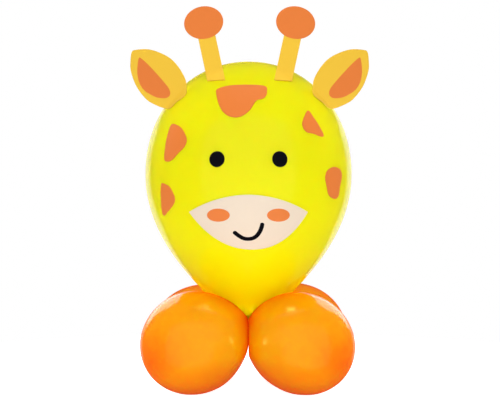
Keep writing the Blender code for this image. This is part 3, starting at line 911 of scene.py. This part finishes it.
def dipped_latex(name, thin, thick_and_painted, bloom, glow, deeper, rough):
    """Latex, dipped on a former and blown up.

    Thin latex is paler, and where it is gathered at a neck, or left thick at the crown,
    its colour is deeper in the feet.  Their deep colour is also painted shade underneath,
    on the crowns and in the creases, and the head's thick yellow is brighter instead:
    painted light in its shaded neck.  Light goes into it, by its glow in millimetres for
    red, green and blue, and comes out further on.  A smooth tight skin gives sharp
    highlights, and its fine powder gives it a bloom towards the rim.
    """
    made, tree, shader, place = blank_material(name)
    # Its thickness attribute also carries painted shade on the feet and painted light in the head's
    # neck.
    thickness = add(tree, "ShaderNodeAttribute", "Fac", attribute_name="thickness")
    uneven = blotches(tree, place, 22 * MM, 3, -0.06, 0.06)
    depth = add(tree, "ShaderNodeMath", "Value", {0: thickness, 1: uneven}, operation="ADD")
    specks = blotches(tree, place, 1.6 * MM, 2, 0, 0.05)
    fill(tree, shader, {
        "Base Color": layered(tree, rgba(thin), (depth, rgba(thick_and_painted)),
                              (specks, rgba(thick_and_painted, darker=0.4))),
        "Roughness": blotches(tree, place, 9 * MM, 3, rough - 0.05, rough + 0.05),
        "Normal": add(tree, "ShaderNodeBump", "Normal",
                      {"Strength": 0.06, "Distance": 0.2 * MM,
                       "Height": blotches(tree, place, 2.4 * MM, 2)}),
        "IOR": 1.52,
        "Sheen Weight": bloom[0],
        "Sheen Roughness": 0.5,
        "Sheen Tint": rgba(bloom[1]),
        "Subsurface Weight": 1.0,
        "Subsurface Radius": [MM * reach for reach in glow],
        "Subsurface Scale": 1.0,
    })
    if deeper != 1:
        scale = add(tree, "ShaderNodeMapRange", "Result",
                    {"Value": thickness, "To Min": 1.0, "To Max": deeper})
        fill(tree, shader, {"Subsurface Scale": scale})
    return made


def head_latex(colours):
    """Yellow latex of the head balloon, into which light goes deeper where it is thick."""
    # Its thick colour is brighter than its thin one: painted light in the shaded neck.
    return dipped_latex("latex_dipped_yellow", colours.head_thin, colours.head_thick_lit,
                        bloom=(0.2, colours.head_bloom), glow=(3, 2.5, 1), deeper=2,
                        rough=0.14)


def foot_latex(colours):
    """Orange latex of the small balloons, which glow red right through."""
    return dipped_latex("latex_dipped_orange", colours.foot_thin, colours.foot_thick_shaded,
                        bloom=(1.0, colours.foot_bloom), glow=(120, 25, 3), deeper=1,
                        rough=0.15)


def printed_card(name, face, board):
    """Folding boxboard with a flat offset print under a thin coat.

    The fibres show as a faint unevenness, here drawn 1.2 mm coarse so that it shows at
    all, and the die-cut edge shows the board, which is nearly as yellow as the print.
    """
    made, tree, shader, place = blank_material(name)
    edge = add(tree, "ShaderNodeAttribute", "Fac", attribute_name="edge")
    faint, rough, height = (blotches(tree, place, 1.2 * MM, 4, low, high, coarse=0.6)
                            for low, high in ((0, 0.12), (0.48, 0.62), (0, 1)))
    fill(tree, shader, {
        "Base Color": layered(tree, rgba(face), (faint, rgba(face, darker=0.3)),
                              (edge, rgba(board))),
        "Roughness": rough,
        "Normal": add(tree, "ShaderNodeBump", "Normal",
                      {"Strength": 0.12, "Distance": 0.1 * MM, "Height": height}),
        "IOR": 1.48,
    })
    return made


def satin_film(name, colour, rough=(0.42, 0.52), gloss=0.5):
    """Cast vinyl film or a layer of ink with a satin face.

    The face is even, with a faint cloudiness and a fine tooth that breaks up highlights.
    """
    made, tree, shader, place = blank_material(name)
    cloud = blotches(tree, place, 6 * MM, 3, 0, 0.08)
    fill(tree, shader, {
        "Base Color": layered(tree, rgba(colour), (cloud, rgba(colour, darker=0.35))),
        "Roughness": blotches(tree, place, 0.9 * MM, 2, *rough),
        "Normal": add(tree, "ShaderNodeBump", "Normal",
                      {"Strength": 0.08, "Distance": 0.05 * MM,
                       "Height": blotches(tree, place, 0.9 * MM, 2)}),
        "IOR": 1.5,
        "Specular IOR Level": gloss,
    })
    return made


def card_board(colours):
    """The card of the ears and horns."""
    return shared("card_offset_printed", printed_card, face=colours.card, board=colours.board)


def orange_film(colours):
    """Orange vinyl, and orange print on vinyl and card."""
    return shared("vinyl_satin_orange", satin_film, colour=colours.orange)


def black_film(colours):
    """Black vinyl, and black print on it."""
    return shared("vinyl_satin_black", satin_film, colour=colours.black,
                  rough=(0.36, 0.46), gloss=0.15)


# ---- Studio ----

# Softboxes: name, degrees round from the front, degrees up (more than 90 is behind),
# distance, width, height, the pieces it lights, and whether they mirror it.  One that
# isn't in the middle has a twin on the other side.
SOFTBOXES = (
    ("front", 0, 5, 2.2, 1.2, 0.4, "all", False),
    ("panel", 0, 3, 1.6, 4.0, 4.0, "all", True),
    ("rim", 110, 22, 1.8, 0.8, 0.8, "all", False),
    ("back", 135, 22, 1.8, 0.8, 0.8, "all", False),
    ("overhead", 0, 85, 1.8, 1.0, 1.0, "all", False),
    ("backdrop", 0, 180, 1.5, 2.7, 1.2, "front", True),
    ("strip", 150, 28, 1.6, 1.05, 1.3, "feet", True),
    ("spot", 104, 74, 1.42, 0.3, 0.22, "foot across", True),
    ("glint", 63, -3, 1.42, 0.16, 0.31, "foot across", True),
    ("glow", 90, 8, 1.6, 0.8, 0.8, "foot across", False),
    ("under", 0, -50, 1.5, 1.0, 1.0, "head", False),
    ("behind", 0, 60, 1.5, 1.0, 1.0, "back feet", False),
)
# Thin latex lets light through, so no balloon shades these.
THROUGH_LATEX = ("spot", "glint", "glow", "under", "behind")
# These show only as their own image in the gloss.
ONLY_MIRRORED = ("spot", "glint")
# The height that every lamp is aimed at and placed round.
LAMPS_AIM = 0.2
WHITE = (1, 1, 1)
TABLE_RADIUS = 0.6
TABLE_THICKNESS = 2 * MM


def lit_pieces(which, side):
    """The pieces in front, the head, the front feet, the one across, or the back feet."""
    head = bpy.data.objects["head_balloon_skin"]
    left, right, *back = (bpy.data.objects[f"foot_balloon_{name}_skin"] for name in FEET)
    return {"front": (head, left, right), "head": (head,), "feet": (left, right),
            "foot across": (left if side > 0 else right,), "back feet": back}[which]


def collection_of(name, pieces):
    """A collection of these pieces, outside the scene's own."""
    made = bpy.data.collections.new(name)
    for piece in pieces:
        made.objects.link(piece)
    return made


def softbox(name, place, target, size, brightness, colour):
    """A rectangular area light at a place, turned to face a target.

    Its power is its brightness times its area times pi.
    """
    data = bpy.data.lights.new(name, "AREA")
    data.shape = "RECTANGLE"
    data.size, data.size_y = size
    data.energy = brightness * size[0] * size[1] * math.pi
    data.color = colour
    lamp = bpy.data.objects.new(name, data)
    lamp.location = place
    lamp.rotation_euler = (Vector(target) - Vector(place)).to_track_quat("-Z", "Y").to_euler()
    lamp.visible_camera = False
    bpy.context.scene.collection.objects.link(lamp)
    return lamp


def studio_lights(studio):
    """Every softbox, at its turn, height and distance from the middle of the giraffe.

    Flags keep the light of some off all but the pieces they light.
    """
    middle = Vector((0, 0, LAMPS_AIM))
    colours = {"spot": studio.spot_colour, "glint": studio.spot_colour,
               "glow": studio.glow_colour, "behind": studio.glow_colour,
               "under": studio.under_colour}
    for name, turn, up, distance, width, height, lights, mirrored in SOFTBOXES:
        for side in (-1, 1) if turn else (1,):
            around, rise = math.radians(side * turn), math.radians(up)
            way = Vector((math.cos(rise) * math.sin(around),
                          -math.cos(rise) * math.cos(around), math.sin(rise)))
            lamp = softbox(name, middle + distance * way, middle, (width, height),
                           getattr(studio, name), colours.get(name, WHITE))
            lamp.visible_glossy = mirrored
            lamp.visible_diffuse = name not in ONLY_MIRRORED
            linking = lamp.light_linking
            if lights != "all":
                linking.receiver_collection = collection_of(name + "_lit", lit_pieces(lights, side))
            if name in THROUGH_LATEX:
                # With only itself to shade it, nothing does.
                linking.blocker_collection = collection_of(name + "_shade", (lamp,))


def white_room(studio):
    """A white world, which the gloss mirrors more dimly than it lights.

    Its strength is the room's, and the light path adds what the camera or the gloss
    sees more or less than that.
    """
    world = bpy.data.worlds.new("white_room")
    world.use_nodes = True
    tree = world.node_tree
    gloss, camera = (add(tree, "ShaderNodeLightPath", name)
                     for name in ("Is Glossy Ray", "Is Camera Ray"))
    lit = add(tree, "ShaderNodeMath", "Value",
              {0: gloss, 1: studio.room_gloss - studio.room, 2: studio.room},
              operation="MULTIPLY_ADD")
    seen = add(tree, "ShaderNodeMath", "Value", {0: camera, 1: 1 - studio.room, 2: lit},
               operation="MULTIPLY_ADD")
    fill(tree, tree.nodes["Background"], {"Strength": seen, "Color": rgba(WHITE)})
    bpy.context.scene.world = world


def table_top(studio):
    """A round white table: rings of points, out along its top and back in below.

    It is lit from below.  The camera sees it brighter than it lights the giraffe, as if it
    were exposed until it is white, so that only its deeper shadows show.
    """
    rings = TABLE_RADIUS * np.array([0, 1 / 6, 1 / 3, 2 / 3, 1])
    radius = np.concatenate([rings, rings[::-1]])
    height = np.repeat((0, -TABLE_THICKNESS), len(rings))
    table = closed_grid("table", turned(radius[:, None], height, turns_round(64)))
    made, tree, shader, place = blank_material("acrylic_opal_white")
    cloud = blotches(tree, place, 60 * MM, 3)
    camera = add(tree, "ShaderNodeLightPath", "Is Camera Ray")
    fill(tree, shader, {
        "Base Color": layered(tree, rgba(linear("F6F6F6")), (cloud, rgba(linear("F2F2F2")))),
        "Roughness": 0.9,
        "Specular IOR Level": 0.1,
        "Emission Color": rgba(WHITE),
        "Emission Strength": add(
            tree, "ShaderNodeMath", "Value",
            {0: camera, 1: studio.table_seen - studio.table, 2: studio.table},
            operation="MULTIPLY_ADD"),
    })
    table.data.materials.append(made)
    table.visible_glossy = False


def studio_camera(studio):
    """A level camera in front of the giraffe."""
    data = bpy.data.cameras.new("camera")
    data.sensor_width = 36.0
    data.lens = data.sensor_width * studio.camera_distance / studio.view_width
    data.clip_start = 0.05
    camera = bpy.data.objects.new("camera", data)
    camera.location = (studio.camera_aside, -studio.camera_distance, studio.camera_height)
    camera.rotation_euler = (math.pi / 2, 0, 0)
    bpy.context.scene.collection.objects.link(camera)
    bpy.context.scene.camera = camera


# ---- Operators ----

class GIRAFFE_OT_head(bpy.types.Operator):
    """Make the head balloon, with its neck and nozzle"""
    bl_idname = "giraffe.head"
    bl_label = "Head balloon"

    def execute(self, context):
        scene = context.scene
        skin = head_balloon(scene.giraffe_balloons)
        place_piece(skin, head_latex(scene.giraffe_colours), "head_latex", "head_balloon")
        return {"FINISHED"}


class GIRAFFE_OT_feet(bpy.types.Operator):
    """Make the small balloons that are the feet"""
    bl_idname = "giraffe.feet"
    bl_label = "Foot balloons"

    def execute(self, context):
        scene = context.scene
        latex = foot_latex(scene.giraffe_colours)
        for name in FEET:
            skin = foot_balloon(name, scene.giraffe_balloons)
            place_piece(skin, latex, "foot_latex", "foot_balloon_" + name)
        return {"FINISHED"}


class GIRAFFE_OT_ears(bpy.types.Operator):
    """Make the card ears and the orange print inside them"""
    bl_idname = "giraffe.ears"
    bl_label = "Ears"

    def execute(self, context):
        scene = context.scene
        card = scene.giraffe_card
        for side, label in SIDES:
            place = on_card(EAR_CENTRE, EAR_DEPTH, EAR_SWEEP, 0, side,
                            scene.giraffe_balloons, card)
            leaf, ink = (
                filled_outline(smooth_outline(knots, count) * (-side, 1), thickness, rings)
                for knots, count, thickness, rings in (
                    (EAR_OUTLINE, 192, card.thickness, 24),
                    (INNER_EAR_OUTLINE, 144, scene.giraffe_stickers.ink, 16)))
            card_piece("ear_" + label, leaf, ink, place, scene)
        return {"FINISHED"}


class GIRAFFE_OT_horns(bpy.types.Operator):
    """Make the card horns and the orange print on their knobs"""
    bl_idname = "giraffe.horns"
    bl_label = "Horns"

    def execute(self, context):
        scene = context.scene
        card = scene.giraffe_card
        for side, label in SIDES:
            place = on_card(HORN_ROOT, HORN_DEPTH, 0, HORN_LEAN_BACK, side,
                            scene.giraffe_balloons, card)
            stem = level_root(ribbon(*horn_shape(card, side), card.thickness), side, card)
            ink = ribbon(*horn_shape(card, side, top_only=True), scene.giraffe_stickers.ink)
            card_piece("horn_" + label, stem, ink, place, scene)
        return {"FINISHED"}


class GIRAFFE_OT_patches(bpy.types.Operator):
    """Make the orange coat patches"""
    bl_idname = "giraffe.patches"
    bl_label = "Coat patches"

    def execute(self, context):
        scene = context.scene
        orange = orange_film(scene.giraffe_colours)
        for name, (degrees, height, knots) in PATCHES.items():
            place = on_head(math.radians(degrees), height * MM, scene.giraffe_balloons)
            sticker("patch_" + name, smooth_outline(knots, 144), 12, place,
                    scene.giraffe_stickers, orange, "orange_vinyl")
        return {"FINISHED"}


class GIRAFFE_OT_eyes(bpy.types.Operator):
    """Make the eyes"""
    bl_idname = "giraffe.eyes"
    bl_label = "Eyes"

    def execute(self, context):
        scene = context.scene
        balloons = scene.giraffe_balloons
        black = black_film(scene.giraffe_colours)
        centre = (EYE_LOW + EYE_HIGH) / 2
        radius = (EYE_HIGH.z - EYE_LOW.z) / 2
        azimuth = math.asin(centre.x / float(head_radius_at(centre.z, balloons)))
        for side, label in SIDES:
            place = on_head(side * azimuth, centre.z, balloons)
            sticker("eye_" + label, ellipse(radius, radius), 8, place,
                    scene.giraffe_stickers, black, "black_vinyl")
        return {"FINISHED"}


class GIRAFFE_OT_muzzle(bpy.types.Operator):
    """Make the muzzle with its nostrils and smile"""
    bl_idname = "giraffe.muzzle"
    bl_label = "Muzzle"

    def execute(self, context):
        scene = context.scene
        stickers, colours = scene.giraffe_stickers, scene.giraffe_colours
        ink = stickers.ink
        place = on_head(0, MUZZLE_HEIGHT, scene.giraffe_balloons)
        cream = satin_film("vinyl_satin_cream", colours.cream)
        sticker("muzzle", muzzle_outline(), 28, place, stickers, cream, "cream_vinyl")
        print_lift = stickers.lift + stickers.thickness + stickers.ink_lift
        oval = ellipse(stickers.nostril_half_width, stickers.nostril_half_height)
        for side, label in SIDES:
            nostril = oval + (side * NOSTRIL_PLACE[0], NOSTRIL_PLACE[1])
            sheet_piece(f"nostril_{label}_print", filled_outline(nostril, ink, rings=10),
                        place, print_lift, ink, orange_film(colours), "orange_vinyl")
        smile = ribbon(*smile_shape(stickers.smile_width), ink)
        sheet_piece("smile_print", smile, place, print_lift, ink, black_film(colours),
                    "black_vinyl")
        return {"FINISHED"}


class GIRAFFE_OT_stage(bpy.types.Operator):
    """Make the floor, the lights and the camera"""
    bl_idname = "giraffe.stage"
    bl_label = "Stage"

    def execute(self, context):
        studio = context.scene.giraffe_studio
        table_top(studio)
        white_room(studio)
        studio_lights(studio)
        studio_camera(studio)
        context.scene.view_settings.view_transform = "Standard"
        return {"FINISHED"}


class GIRAFFE_PT_sidebar(bpy.types.Panel):
    """Settings and steps of the giraffe"""
    bl_label = "Balloon giraffe"
    bl_idname = "GIRAFFE_PT_sidebar"
    bl_space_type = "VIEW_3D"
    bl_region_type = "UI"
    bl_category = "Giraffe"

    def draw(self, context):
        for group in SETTINGS:
            settings = getattr(context.scene, group)
            box = self.layout.box()
            for name in settings.__annotations__:
                box.prop(settings, name)
        for step in STEPS:
            self.layout.operator(step.bl_idname)


SETTINGS = {
    "giraffe_balloons": BalloonSettings,
    "giraffe_card": CardSettings,
    "giraffe_stickers": StickerSettings,
    "giraffe_colours": ColourSettings,
    "giraffe_studio": StudioSettings,
}
STEPS = (GIRAFFE_OT_head, GIRAFFE_OT_feet, GIRAFFE_OT_ears, GIRAFFE_OT_horns,
         GIRAFFE_OT_patches, GIRAFFE_OT_eyes, GIRAFFE_OT_muzzle, GIRAFFE_OT_stage)


def register():
    """Register every class and hang the settings on the scene."""
    for cls in (*SETTINGS.values(), *STEPS, GIRAFFE_PT_sidebar):
        bpy.utils.register_class(cls)
    for name, cls in SETTINGS.items():
        setattr(bpy.types.Scene, name, PointerProperty(type=cls))


def unregister():
    """Take the settings off the scene and unregister every class."""
    for name in SETTINGS:
        delattr(bpy.types.Scene, name)
    for cls in reversed((*SETTINGS.values(), *STEPS, GIRAFFE_PT_sidebar)):
        bpy.utils.unregister_class(cls)


def main():
    """Build the giraffe and its stage."""
    register()
    for step in STEPS:
        area, name = step.bl_idname.split(".")
        getattr(getattr(bpy.ops, area), name)()


if __name__ == "__main__":
    main()
